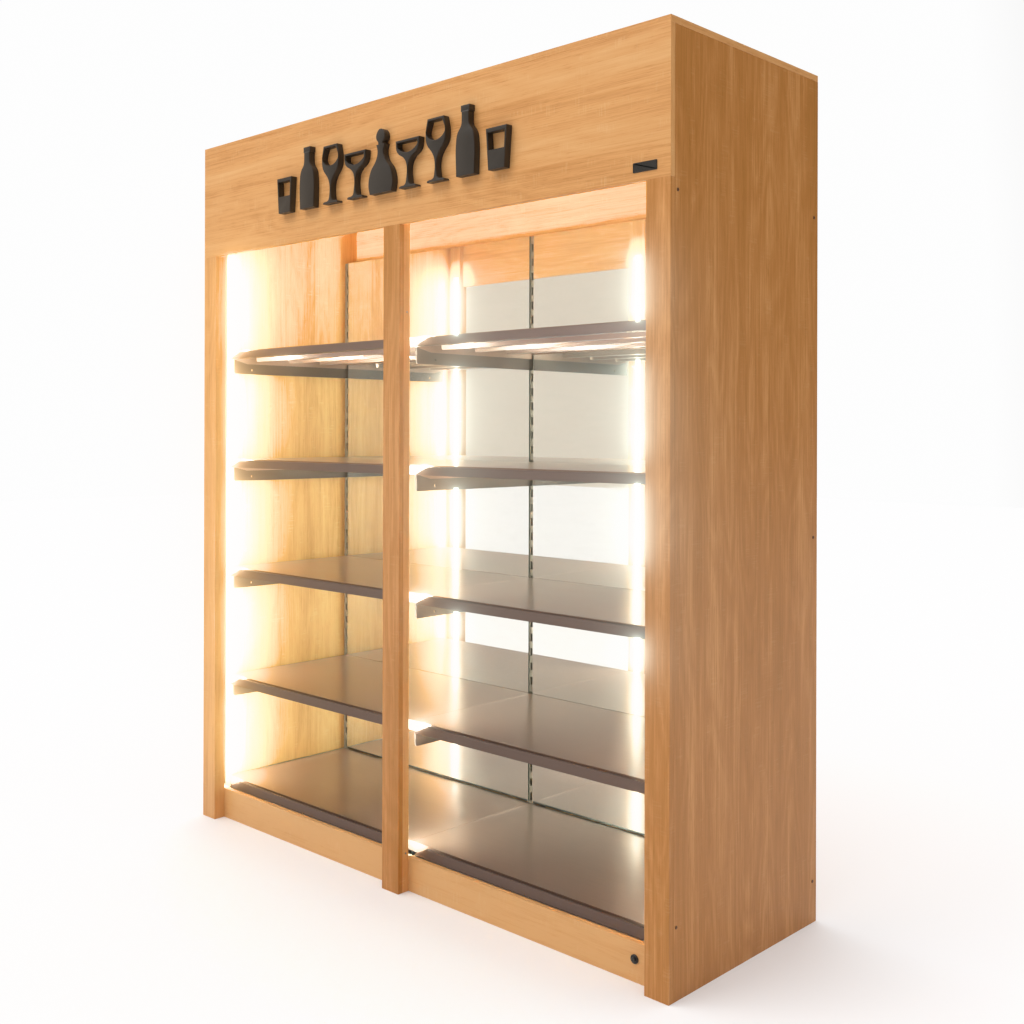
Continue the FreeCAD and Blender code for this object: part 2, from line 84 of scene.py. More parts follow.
# Half outlines of the sign's shapes: half width and height in millimetres, and whether the line
# runs smoothly through the point. They start at the foot and end at the top.
TUMBLER = ((31, 0, False), (40, 118, False))
TUMBLER_HOLE = ((30, 56, False), (33, 106, False))
BOTTLE = ((36, 0, False), (36, 104, True), (31, 124, True), (16, 146, True), (14, 164, True),
          (14, 184, False), (17, 184, False), (17, 202, False))
WINE_GLASS = ((36, 0, False), (36, 4, True), (10, 11, True), (5, 24, True), (5, 66, True), (12, 82, True),
              (38, 116, True), (42, 146, True), (34, 188, False))
WINE_HOLE = ((36, 138, True), (29, 181, False))
DECANTER = ((50, 0, False), (56, 30, True), (46, 70, True), (20, 104, True), (13, 128, True),
            (19, 150, False), (10, 150, False), (10, 156, False), (20, 172, True), (12, 192, True),
            (0, 198, True))
COUPE = ((36, 0, False), (36, 4, True), (10, 11, True), (5, 24, True), (5, 74, True), (14, 88, True),
         (46, 112, True), (52, 146, False))
COUPE_HOLE = ((42, 122, True), (45, 139, False))
SIGN_ROW = ((TUMBLER, TUMBLER_HOLE), (BOTTLE, None), (WINE_GLASS, WINE_HOLE), (COUPE, COUPE_HOLE),
            (DECANTER, None), (COUPE, COUPE_HOLE), (WINE_GLASS, WINE_HOLE), (BOTTLE, None),
            (TUMBLER, TUMBLER_HOLE))
CURVE_STEPS = 8

# Working on meshes: a face looks along an axis from this share of its normal on, points nearer than
# this many millimetres are one, and edges flatter or sharper than these angles are smooth or rounded
SQUARE_ON = 0.9
SAME_POINT = 0.02
SAME_CAD_POINT = 0.01
SMOOTH_ANGLE = math.radians(32)
SHARP_ANGLE = math.radians(40)

# Patterns: the two axes across each axis that a grain can follow, the share of its normal from which
# a printed or silvered face looks along an axis, and the values that a noise mostly keeps between
ACROSS = {"X": ("Z", "Y"), "Y": ("X", "Z"), "Z": ("X", "Y")}
FACE_SHARE = 0.7
NOISE_LOW = 0.3
NOISE_HIGH = 0.7
NOISE_SPAN = {"From Min": NOISE_LOW, "From Max": NOISE_HIGH}

# How the sky's colour turns into the next one along an axis, starting from the colour on the left
SKY_TURNS = (("X", -0.55, -0.2, "sky_front"), ("Y", -0.1, 0.3, "sky_behind"), ("X", -0.36, 0.2, "sky_right"),
             ("Z", 0.4, 0.8, "sky_behind"))

# How light over white is shown: it loses strength softly and turns from golden to cream and white.
# Each step names its result, what it does and what it takes.
SHOULDER = 0.05
WHITENING = 0.33
TONE_STEPS = (("higher", "MAXIMUM", "red", "green"), ("peak", "MAXIMUM", "higher", "blue"),
              ("above", "SUBTRACT", "peak", 1 - SHOULDER), ("over", "MAXIMUM", "above", 0.0),
              ("square", "MULTIPLY", "over", "over"), ("reach", "ADD", "over", SHOULDER),
              ("loss", "DIVIDE", "square", "reach"), ("kept", "SUBTRACT", "peak", "loss"),
              ("scale", "DIVIDE", "kept", "peak"), ("slope", "ADD", "loss", WHITENING),
              ("white", "DIVIDE", "loss", "slope"))

# Width of the camera's sensor, in millimetres
SENSOR = 36.0


# Settings that a user would change

def colour(code):
    """Turn an sRGB hex code into linear red, green, blue and alpha."""
    parts = [int(code[i:i + 2], 16) / 255 for i in (1, 3, 5)]
    return tuple(p / 12.92 if p <= 0.04045 else ((p + 0.055) / 1.055) ** 2.4 for p in parts) + (1.0,)


def tint(name, description, code):
    """A setting for a colour, from its sRGB hex code."""
    return FloatVectorProperty(name=name, description=description, subtype="COLOR", size=4,
                               min=0.0, max=1.0, default=colour(code))


def length(name, description, millimetres):
    """A setting for a length, from its millimetres."""
    return FloatProperty(name=name, description=description, default=millimetres * MM, unit="LENGTH",
                         precision=4)


def spot(name, description, metres):
    """A setting for a place."""
    return FloatVectorProperty(name=name, description=description, size=3, subtype="XYZ_LENGTH",
                               default=metres)


def angle(name, description, radians):
    """A setting for an angle."""
    return FloatProperty(name=name, description=description, default=radians, subtype="ANGLE")


def number(name, description, value):
    """A setting for a plain number, such as a power in watts."""
    return FloatProperty(name=name, description=description, default=value)


class ShelfFinishes(bpy.types.PropertyGroup):
    """Colours of the boards and metals, and the boards' edges."""
    oak_light: tint("Oak, light", "Pale bands of the oak decor", "#E5B277")
    oak_mid: tint("Oak, middle", "Main tone of the oak decor", "#DCA164")
    oak_dark: tint("Oak, dark", "Late wood and pores of the oak decor", "#BF8143")
    # Darkest tone of the darker oak copy, which is painted shade on some boards.
    oak_painted_shade_deep: tint("Oak, deep", "Late wood of the darker boards", "#AA7230")
    oak_sawn: tint("Oak, saw marks", "Pale saw marks across the grain", "#EBC795")
    tray: tint("Tray", "Satin metallic enamel of trays and decks", "#977A6B")
    rail: tint("Rail", "Metallic enamel of the price rails", "#6E5C55")
    bracket: tint("Bracket", "Enamel of the brackets", "#5A4B44")
    upright: tint("Upright", "Enamel of the slotted uprights", "#988B7C")
    silver: tint("Mirror", "Silver behind the mirror glass", "#EAE7E2")
    glass_edge: tint("Mirror edge", "Cut edge of the mirror glass", "#39463F")
    board_edge: length("Board edge", "Rounding of the boards' edges", 0.8)


class ShelfLamps(bpy.types.PropertyGroup):
    """Single lamps of the LED strips."""
    pitch: length("Pitch", "Distance from lamp to lamp, 60 to the metre", 1000 / 60)
    side: length("Side", "Width and height of one lamp", 5)
    rise: length("Rise", "Thickness of one lamp over its strip", 1.4)
    rim: length("Rim", "Width of the white rim round the phosphor", 0.5)
    well: length("Well", "Depth of the phosphor below the rim", 0.25)
    glow: number("Glow", "Brightness of the phosphor to the eye", 60.0)
    # Painted glow: the strip's board shines with this share of the lamps' brightness, in place of their
    # light on it.
    board_painted_glow: number("Board share", "Share of that brightness on the strip's board", 0.05)
    power: number("Power", "Radiant watts of one strip", 27.0)
    light: tint("Light", "Colour of the light, a cool white", "#EAFFF4")
    core: tint("Core", "Colour of the lit phosphor itself", "#F4F3FF")


class ShelfSign(bpy.types.PropertyGroup):
    """Raised bottle and glass shapes on the fascia."""
    left: length("Left end", "Middle of the first shape, across from the middle of the unit", -518)
    right: length("Right end", "Middle of the last shape", 463)
    foot: length("Foot", "Height of the shapes' feet above the floor", 2150)
    depth: length("Depth", "Thickness of the shapes", 24)
    edge: length("Edge", "Rounding of the shapes' front edges", 1.5)
    paint: tint("Paint", "Dark brown lacquer", "#2A231C")


class ShelfTrim(bpy.types.PropertyGroup):
    """Bare plate and screws."""
    plate_width: length("Plate width", "Bare plate on the fascia", 74)
    plate_height: length("Plate height", "Bare plate on the fascia", 25)
    plate_thickness: length("Plate thickness", "Bare plate on the fascia", 2)
    plate_inset: length("Plate inset", "From the fascia's right end to the plate", 41)
    plate_rise: length("Plate rise", "From the fascia's lower edge to the plate", 22)
    plate_corner: length("Plate corner", "Rounding of the plate's corners", 2)
    plate_chamfer: length("Plate chamfer", "Slope round the plate's face", 0.4)
    plate_border: length("Plate border", "From the slope to the sunken middle", 1.6)
    plate_sink: length("Plate sink", "Depth of the sunken middle", 0.3)
    plate: tint("Plate", "Black anodised plate", "#1E1B19")
    cap_radius: length("Cap radius", "Screw caps on the side panels", 4.5)
    cap_rise: length("Cap rise", "How far a screw cap stands out", 1.2)
    cap_front: length("Front column", "Depth of the front screw caps from the front plane", 30)
    cap_back: length("Back column", "Depth of the back screw caps from the front plane", 708)
    screw_radius: length("Screw radius", "Small screws in the side of the centre batten", 3)
    screw_rise: length("Screw rise", "How far a small screw stands out", 0.8)


class ShelfStage(bpy.types.PropertyGroup):
    """Camera, floor and studio light."""
    lens: number("Lens", "Focal length on a 36 mm sensor", 42.17)
    camera: spot("Camera", "Place of the camera", (2.7636, -2.8223, 1.4213))
    heading: angle("Heading", "Turn of the camera from looking along +Y", 0.7825)
    pitch: angle("Pitch", "Tilt of the camera upwards", 0.0007)
    roll: angle("Roll", "Turn of the camera about its own axis", -0.0027)
    shift_x: number("Shift X", "Sideways shift of the frame", 0.0459)
    shift_y: number("Shift Y", "Upward shift of the frame", -0.0813)
    floor: length("Floor", "Side of the square floor", 40000)
    floor_tone: tint("Floor tone", "Pale matt floor", "#F6F7F9")
    sky_behind: tint("Light behind", "White behind and above the unit", "#FFFFFF")
    sky_front: tint("Light in front", "Grey before the unit", "#B3ABA2")
    sky_left: tint("Light on the left", "Pale light at the front left, which the mirrors show", "#E4D9CB")
    sky_right: tint("Light on the right", "Dim warm light on the unit's right", "#66533D")
    sky_top: number("Light above", "Added strength above", 0.3)
    key_power: number("Key light", "Power of the large soft light", 50.0)
    key_place: spot("Key light, place", "Middle of the large soft light", (-0.6, -2.4, 4.8))
    key_aim: spot("Key light, aim", "Where the large soft light points", (0, -0.36, 1.6))
    key_width: length("Key light, width", "Longer side of the large soft light", 2600)
    key_depth: length("Key light, depth", "Shorter side of the large soft light", 1600)
    wash_power: number("Floor light", "Strength of the light on the floor alone", 0.6)
    wash_angle: angle("Floor light, softness", "Width of sky that it comes from", math.radians(120))
    strip_gap: length("Strip light, gap", "From a strip to the flat light of its lamps", 3)
    mirror_gap: length("Mirrored light, gap", "From a mirror to the flat light that it throws back", 6)
    fill_power: number("Mirrored light", "Power, for each bay, of what its mirror throws forward", 13.0)
    fill_light: tint("Mirrored light, colour", "Colour of that light, greener by the glass", "#D2FFF2")
    post_power: number("Mirrored light on posts", "Power of a strip's light that comes straight back", 12.0)
    post_spread: angle("Mirrored light on posts, spread", "Width of its beam", math.radians(16))
    bloom: number("Bloom", "Strength of the glow round the lamps", 0.6)
    bloom_from: number("Bloom, from", "Brightness from which things glow", 2.0)
    bloom_most: number("Bloom, most", "Brightness over which the glow grows no more", 60.0)
    bloom_size: number("Bloom, size", "Reach of the glow", 0.15)
    softness: number("Softness", "Share of the softened picture in what is shown", 0.5)


GROUPS = {"shelf_finishes": ShelfFinishes, "shelf_lamps": ShelfLamps, "shelf_sign": ShelfSign,
          "shelf_trim": ShelfTrim, "shelf_stage": ShelfStage}


# Materials

def feed(tree, made, inputs):
    """Link each of a node's inputs to a socket, or set it to a value."""
    for key, value in inputs.items():
        if isinstance(value, bpy.types.NodeSocket):
            tree.links.new(value, made.inputs[key])
        else:
            made.inputs[key].default_value = value


def node(tree, kind, inputs=None, stops=(), **settings):
    """Add a node to a tree with its inputs, a colour ramp's positions and colours, and its settings."""
    made = tree.nodes.new(tree.bl_idname.replace("Tree", "") + kind)
    for key, value in settings.items():
        setattr(made, key, value)
    for i, (position, tone) in enumerate(stops):
        bar = made.color_ramp.elements
        element = bar[i] if i < len(bar) else bar.new(position)
        element.position = position
        element.color = tone
    feed(tree, made, inputs or {})
    return made


def new_material(name):
    """A material with its node tree and its shader."""
    made = bpy.data.materials.new(name)
    made.use_nodes = True
    return made, made.node_tree, made.node_tree.nodes["Principled BSDF"]


def shaded(paint, share):
    """A colour made darker or brighter."""
    return tuple(min(1.0, part * share) for part in paint[:3]) + (1.0,)


def patterned(tree, coords, sizes, detail=2.0, roughness=0.5):
    """Noise whose cells measure the given sizes, in millimetres, along the three coordinates."""
    scale = tuple(1 / (size * MM) for size in sizes)
    scaled = node(tree, "VectorMath", {0: coords, 1: scale}, operation="MULTIPLY")
    return node(tree, "TexNoise", {"Vector": scaled.outputs[0], "Scale": 1.0, "Detail": detail,
                                   "Roughness": roughness}).outputs["Fac"]


def weighted(tree, base, parts):
    """Add values to a base, each times its weight."""
    total = base
    for value, weight in parts:
        total = node(tree, "Math", {0: value, 1: weight, 2: total}, operation="MULTIPLY_ADD").outputs[0]
    return total


def looks_along(tree, axis):
    """One on faces that look along an axis, and nought on the others."""
    normal = node(tree, "NewGeometry").outputs["Normal"]
    share = node(tree, "SeparateXYZ", {"Vector": normal}).outputs[axis]
    size = node(tree, "Math", {0: share}, operation="ABSOLUTE").outputs[0]
    return node(tree, "Math", {0: size, 1: FACE_SHARE}, operation="GREATER_THAN").outputs[0]


def oak_laminate(name, along, ends, painted_light=0.0, dark=False):
    """Melamine board with a printed and embossed sawn oak decor: matt, with streaks, pores and saw marks.

    The grain runs along one axis, and along another one on the banded board ends. A paler copy is
    painted light and a dark copy painted shade, on boards that get more or less light than the rest."""
    finish = bpy.context.scene.shelf_finishes
    made, tree, shader = new_material(name)
    place = node(tree, "SeparateXYZ", {"Vector": node(tree, "TexCoord").outputs["Object"]}).outputs
    runs = [node(tree, "CombineXYZ", {"X": place[ACROSS[axis][0]], "Y": place[ACROSS[axis][1]],
                                      "Z": place[axis]}).outputs[0] for axis in (along, ends)]
    grain = node(tree, "Mix", {0: looks_along(tree, along), 4: runs[0], 5: runs[1]},
                 data_type="VECTOR").outputs[1]

    bands = patterned(tree, grain, (75, 75, 1500), detail=3.0)
    hills = patterned(tree, grain, (150, 150, 900), detail=1.5)
    rings = node(tree, "Math", {0: hills, 1: 26.0}, operation="MULTIPLY").outputs[0]
    figure = node(tree, "Math", {0: rings, 1: 1.0}, operation="PINGPONG").outputs[0]
    streaks = patterned(tree, grain, (6, 6, 260), detail=3.0, roughness=0.6)
    fibres = patterned(tree, grain, (2.6, 2.6, 320), detail=2.0, roughness=0.6)
    # Real pores are 0.3 mm wide; here they are as coarse as the picture needs to show them.
    specks = patterned(tree, grain, (2.2, 2.2, 38), detail=1.0)
    pores = node(tree, "MapRange", {"Value": specks, "From Min": 0.56, "From Max": 0.74}).outputs[0]
    strokes = patterned(tree, grain, (70, 70, 4), detail=0.0)
    cuts = node(tree, "MapRange", {"Value": strokes, "From Min": 0.5, "From Max": 0.72}).outputs[0]
    islands = patterned(tree, grain, (34, 34, 60), detail=1.0)
    patches = node(tree, "MapRange", {"Value": islands, "From Min": 0.56, "From Max": 0.68}).outputs[0]
    marks = node(tree, "Math", {0: cuts, 1: patches}, operation="MULTIPLY").outputs[0]

    # The dark copy is painted shade: it moves every colour of the ramp one step darker.
    tones = (finish.oak_dark, finish.oak_mid, finish.oak_light)
    if dark:
        tones = (finish.oak_painted_shade_deep, finish.oak_dark, finish.oak_mid)
    # A paler copy is painted light: it lifts the whole tone.
    tone = weighted(tree, painted_light - 0.40, [(bands, 0.75), (streaks, 0.5), (fibres, 0.45), (figure, 0.12),
                                         (pores, -0.16)])
    plain = node(tree, "ValToRGB", {"Fac": tone}, stops=zip((0.12, 0.48, 0.82), tones)).outputs[0]
    share = node(tree, "Math", {0: marks, 1: 0.08 if dark else 0.2}, operation="MULTIPLY").outputs[0]
    sawn = node(tree, "Mix", {0: share, 6: plain, 7: finish.oak_sawn}, data_type="RGBA").outputs[2]
    height = weighted(tree, 0.0, [(pores, -1.0), (streaks, 0.4), (marks, 0.5)])
    bump = node(tree, "Bump", {"Strength": 0.25, "Distance": 0.2 * MM, "Height": height}).outputs[0]
    feed(tree, shader, {"Base Color": sawn, "Roughness": weighted(tree, 0.30, [(streaks, 0.16)]),
                        "Normal": bump, "IOR": 1.5, "Specular IOR Level": 0.3})
    return made


def metallic_enamel(name, paint, metallic, roughness, coat, rolled):
    """Stoved enamel with aluminium flakes on steel sheet: satin, faintly speckled, with a clear top coat.

    The coat mirrors at a low angle. Handling leaves the gloss a little uneven along the sheet's rolling
    direction."""
    made, tree, shader = new_material(name)
    place = node(tree, "TexCoord").outputs["Object"]
    # Flakes measure 0.05 mm; drawn at 1.5 mm so that they show.
    flakes = patterned(tree, place, (1.5, 1.5, 1.5), detail=1.0)
    clouds = patterned(tree, place, (180, 90, 90), detail=3.0)
    wipes = patterned(tree, place, rolled)
    tone = weighted(tree, -0.25, [(flakes, 0.5), (clouds, 0.6), (wipes, 0.4)])
    stops = ((0.1, shaded(paint, 0.86)), (0.5, paint), (0.9, shaded(paint, 1.10)))
    colours = node(tree, "ValToRGB", {"Fac": tone}, stops=stops).outputs[0]
    gloss = weighted(tree, roughness - 0.035, [(clouds, 0.05), (wipes, 0.02)])
    bump = node(tree, "Bump", {"Strength": 0.06, "Distance": 0.1 * MM, "Height": flakes}).outputs[0]
    feed(tree, shader, {"Base Color": colours, "Metallic": metallic, "Roughness": gloss, "Normal": bump,
                        "Coat Weight": coat, "Coat Roughness": 0.2})
    return made


def zinc_plate():
    """Hot-dip zinc on steel: dull grey crystals of different brightness, about 9 mm wide."""
    made, tree, shader = new_material("zinc_plated_steel")
    place = node(tree, "TexCoord").outputs["Object"]
    crystals = node(tree, "TexVoronoi", {"Vector": place, "Scale": 1 / (9 * MM)}).outputs["Color"]
    value = node(tree, "RGBToBW", {"Color": crystals}).outputs[0]
    stops = ((0.1, colour("#7D8284")), (0.9, colour("#B4B8B9")))
    colours = node(tree, "ValToRGB", {"Fac": value}, stops=stops).outputs[0]
    gloss = node(tree, "MapRange", {"Value": value, "To Min": 0.32, "To Max": 0.5}).outputs[0]
    feed(tree, shader, {"Base Color": colours, "Metallic": 1.0, "Roughness": gloss})
    return made


def mirror_silver():
    """Float glass silvered behind: a sharp mirror with faint dust, wiping marks and green cut edges."""
    finish = bpy.context.scene.shelf_finishes
    made, tree, shader = new_material("silvered_float_glass")
    place = node(tree, "TexCoord").outputs["Object"]
    is_face = looks_along(tree, "Y")
    wipes = patterned(tree, place, (130, 130, 40), detail=4.0, roughness=0.6)
    faces = node(tree, "Mix", {0: is_face, 6: finish.glass_edge, 7: finish.silver},
                 data_type="RGBA").outputs[2]
    clear = node(tree, "MapRange", {"Value": wipes, "From Min": 0.35, "From Max": 0.7,
                                    "To Min": 0.95, "To Max": 0.91}).outputs[0]
    bright = node(tree, "Math", {0: is_face, 1: clear}, operation="MULTIPLY").outputs[0]
    gloss = node(tree, "MapRange", {"Value": wipes, "From Min": 0.45, "From Max": 0.75,
                                    "To Min": 0.012, "To Max": 0.05}).outputs[0]
    feed(tree, shader, {"Base Color": faces, "Metallic": bright, "Roughness": gloss})
    return made


def anodised_aluminium(name, low, high):
    """Extruded and anodised aluminium: satin metal with fine die lines along its length."""
    made, tree, shader = new_material(name)
    place = node(tree, "TexCoord").outputs["Object"]
    # Die lines are about 0.1 mm apart; drawn at 0.9 mm so that they show.
    lines = patterned(tree, place, (0.9, 0.9, 400))
    stops = ((NOISE_LOW, colour(low)), (NOISE_HIGH, colour(high)))
    colours = node(tree, "ValToRGB", {"Fac": lines}, stops=stops).outputs[0]
    gloss = node(tree, "MapRange", {**NOISE_SPAN, "Value": lines, "To Min": 0.28, "To Max": 0.42}).outputs[0]
    feed(tree, shader, {"Base Color": colours, "Metallic": 1.0, "Roughness": gloss})
    return made


def strip_board():
    """White solder resist on the strip's flexible board, with a painted glow for the light of its own lamps.
    """
    lamps = bpy.context.scene.shelf_lamps
    made, tree, shader = new_material("white_solder_resist_painted_glow")
    place = node(tree, "TexCoord").outputs["Object"]
    weave = patterned(tree, place, (1.2, 1.2, 2.4), detail=1.0)
    stops = ((NOISE_LOW, colour("#E6E6E2")), (NOISE_HIGH, colour("#F6F6F3")))
    colours = node(tree, "ValToRGB", {"Fac": weave}, stops=stops).outputs[0]
    # Painted glow: the board shines by itself with part of the lamps' brightness.
    feed(tree, shader, {"Base Color": colours, "Roughness": 0.4, "Emission Color": lamps.light,
                        "Emission Strength": lamps.glow * lamps.board_painted_glow})
    return made


def lamp_phosphor():
    """Yellow phosphor gel over the chips, white while lit."""
    lamps = bpy.context.scene.shelf_lamps
    made, tree, shader = new_material("led_phosphor")
    place = node(tree, "TexCoord").outputs["Object"]
    grains = patterned(tree, place, (0.4, 0.4, 0.4), detail=1.0)
    stops = ((NOISE_LOW, colour("#F2E08A")), (NOISE_HIGH, colour("#F8ECAE")))
    colours = node(tree, "ValToRGB", {"Fac": grains}, stops=stops).outputs[0]
    feed(tree, shader, {"Base Color": colours, "Roughness": 0.3, "Emission Color": lamps.core,
                        "Emission Strength": lamps.glow})
    return made


def moulded_plastic(name, low, high, roughness):
    """Injection-moulded plastic, such as ABS, with a fine spark-eroded grain."""
    made, tree, shader = new_material(name)
    place = node(tree, "TexCoord").outputs["Object"]
    # The grain is 0.2 mm on the real thing; drawn at 0.6 mm so that it shows.
    grit = patterned(tree, place, (0.6, 0.6, 0.6))
    stops = ((NOISE_LOW, colour(low)), (NOISE_HIGH, colour(high)))
    colours = node(tree, "ValToRGB", {"Fac": grit}, stops=stops).outputs[0]
    bump = node(tree, "Bump", {"Strength": 0.2, "Distance": 0.05 * MM, "Height": grit}).outputs[0]
    gloss = node(tree, "MapRange", {**NOISE_SPAN, "Value": grit, "To Min": roughness - 0.06,
                                    "To Max": roughness + 0.06}).outputs[0]
    feed(tree, shader, {"Base Color": colours, "Normal": bump, "IOR": 1.53, "Roughness": gloss})
    return made


def lacquer(name, paint, roughness):
    """Sprayed or dyed dark coat: even and satin, with a trace of spray texture."""
    made, tree, shader = new_material(name)
    place = node(tree, "TexCoord").outputs["Object"]
    spray = patterned(tree, place, (3, 3, 3))
    clouds = patterned(tree, place, (60, 60, 60))
    tone = weighted(tree, -0.1, [(spray, 0.4), (clouds, 0.8)])
    stops = ((0.2, shaded(paint, 0.8)), (0.5, paint), (0.8, shaded(paint, 1.25)))
    colours = node(tree, "ValToRGB", {"Fac": tone}, stops=stops).outputs[0]
    bump = node(tree, "Bump", {"Strength": 0.12, "Distance": 0.1 * MM, "Height": spray}).outputs[0]
    gloss = node(tree, "MapRange", {**NOISE_SPAN, "Value": clouds, "To Min": roughness - 0.05,
                                    "To Max": roughness + 0.05}).outputs[0]
    feed(tree, shader, {"Base Color": colours, "Normal": bump, "Roughness": gloss})
    return made


# Working on meshes

def deselect():
    """Leave edit mode and select nothing."""
    if bpy.context.object and bpy.context.object.mode != "OBJECT":
        bpy.ops.object.mode_set(mode="OBJECT")
    bpy.ops.object.select_all(action="DESELECT")


def pick(kind, test):
    """In edit mode, select only the faces or edges that pass the test."""
    bpy.ops.mesh.select_mode(type=kind)
    bpy.ops.mesh.select_all(action="DESELECT")
    mesh = bmesh.from_edit_mesh(bpy.context.object.data)
    for part in mesh.faces if kind == "FACE" else mesh.edges:
        part.select_set(test(part))
    mesh.select_flush_mode()
    bmesh.update_edit_mesh(bpy.context.object.data)


def settle(piece, name, material):
    """Put a finished piece's place into its mesh, name it, give it its material and let it ride."""
    deselect()
    piece.select_set(True)
    bpy.context.view_layer.objects.active = piece
    bpy.ops.object.transform_apply(location=True, rotation=True, scale=True)
    piece.name = name
    if not piece.data.materials:
        piece.data.materials.append(material)
    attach(piece, "unit")
    return piece


def dress(names, material):
    """Give CAD pieces a material."""
    for name in names:
        for held in NODES[name].material_slots:
            held.material = material


def soften(names, width):
    """Round the sharp edges of CAD pieces without touching their meshes."""
    for name in names:
        weld = NODES[name].modifiers.new("weld", "WELD")
        weld.merge_threshold = SAME_CAD_POINT * MM
        bevel = NODES[name].modifiers.new("edges", "BEVEL")
        bevel.width = width
        bevel.segments = 2
        bevel.limit_method = "ANGLE"
        bevel.angle_limit = SHARP_ANGLE
        bevel.use_clamp_overlap = True


def draw_outline(curve, half):
    """Add a closed outline to a flat curve from one half of it."""
    left = [(-width, height, smooth) for width, height, smooth in reversed(half) if width > 0]
    points = list(half) + left
    line = curve.splines.new("BEZIER")
    line.bezier_points.add(len(points) - 1)
    line.use_cyclic_u = True
    for point, (width, height, smooth) in zip(line.bezier_points, points):
        point.co = (width * MM, height * MM, 0)
        kind = "AUTO" if smooth else "VECTOR"
        point.handle_left_type = kind
        point.handle_right_type = kind


def screw_head(place, turn, radius, rise):
    """A low domed head with a round recess, facing along its own Z axis before it is turned."""
    deselect()
    bpy.ops.mesh.primitive_cylinder_add(vertices=HEAD_SIDES, radius=radius, depth=rise, end_fill_type="NGON")
    head = bpy.context.object
    bpy.ops.object.mode_set(mode="EDIT")
    pick("FACE", lambda face: face.normal.z > SQUARE_ON)
    for width, share in HEAD_RINGS:
        bpy.ops.mesh.inset(thickness=radius * width, depth=rise * share)
    bpy.ops.object.mode_set(mode="OBJECT")
    head.rotation_euler = turn
    head.location = place
    return head


# Pieces

class SHELF_OT_boards(bpy.types.Operator):
    """Give the wooden surround its oak decor and eased edges"""
    bl_idname = "shelf.boards"
    bl_label = "Finish Boards"

    def execute(self, context):
        standing = [bay + "_side_panel" for bay in BAYS]
        standing += [side + layer for side in SIDES for layer in ("_post", "_post_batten")]
        plinths = [bay + "_plinth" for bay in BAYS]
        lying = ["fascia_board", "back_panel"]
        dress(standing, oak_laminate("oak_laminate_upright", "Z", "Y"))
        # Painted shade: the centre post, the right post and the right side panel get a darker copy of the
        # oak.
        dress(["centre_post", "right_post", "right_side_panel"],
              oak_laminate("oak_laminate_painted_shade_upright", "Z", "Y", dark=True))
        dress(lying, oak_laminate("oak_laminate_lengthwise", "X", "Z"))
        # Painted light: the plinths get a paler copy of the oak.
        dress(plinths, oak_laminate("oak_laminate_painted_light_lengthwise", "X", "Z", painted_light=0.3))
        dress(["top_panel"], oak_laminate("oak_laminate_top", "X", "Y"))
        soften(standing + lying + plinths + ["top_panel"], context.scene.shelf_finishes.board_edge)
        return {"FINISHED"}


class SHELF_OT_metalwork(bpy.types.Operator):
    """Give uprights, trays, rails, brackets and small metal parts their finishes"""
    bl_idname = "shelf.metalwork"
    bl_label = "Finish Metalwork"

    def execute(self, context):
        finish = context.scene.shelf_finishes
        # Rolling marks in millimetres, along the length of each sheet
        sideways = (400, 6, 6)
        inwards = (6, 300, 6)
        upwards = (6, 6, 300)
        dress(TRAYS, metallic_enamel("satin_metallic_enamel", finish.tray, metallic=0.65, roughness=0.3,
                                     coat=0.4, rolled=sideways))
        dress(RAILS, metallic_enamel("rail_metallic_enamel", finish.rail, metallic=0.5, roughness=0.4,
                                     coat=0.05, rolled=sideways))
        dress(["brackets_%d" % level for level in LEVELS],
              metallic_enamel("bracket_enamel", finish.bracket, metallic=0.7, roughness=0.34, coat=0.2,
                              rolled=inwards))
        dress([side + "_upright" for side in SIDES],
              metallic_enamel("upright_enamel", finish.upright, metallic=0.7, roughness=0.36, coat=0.2,
                              rolled=upwards))
        dress([side + "_base_leg" for side in SIDES] + ["crossbars", "levelling_feet"], zinc_plate())
        dress([side + "_led_channel" for side in SIDES],
              anodised_aluminium("clear_anodised_aluminium", "#B9BBBC", "#DADCDC"))
        dress(["mirror_channels"], anodised_aluminium("grey_anodised_aluminium", "#55534E", "#6B6962"))
        return {"FINISHED"}


class SHELF_OT_mirrors(bpy.types.Operator):
    """Silver the two mirrors"""
    bl_idname = "shelf.mirrors"
    bl_label = "Finish Mirrors"

    def execute(self, context):
        dress([bay + "_mirror" for bay in BAYS], mirror_silver())
        return {"FINISHED"}


class SHELF_OT_electrics(bpy.types.Operator):
    """Give the switch and the driver their moulded plastics"""
    bl_idname = "shelf.electrics"
    bl_label = "Finish Electrics"

    def execute(self, context):
        dress(["switch_bezel", "switch_body"],
              moulded_plastic("black_abs", "#151413", "#211F1D", roughness=0.42))
        dress(["switch_button"], moulded_plastic("button_abs", "#1E1C1A", "#2C2926", roughness=0.34))
        dress(["led_driver"], moulded_plastic("white_abs", "#D9D9D5", "#E6E6E2", roughness=0.45))
        return {"FINISHED"}


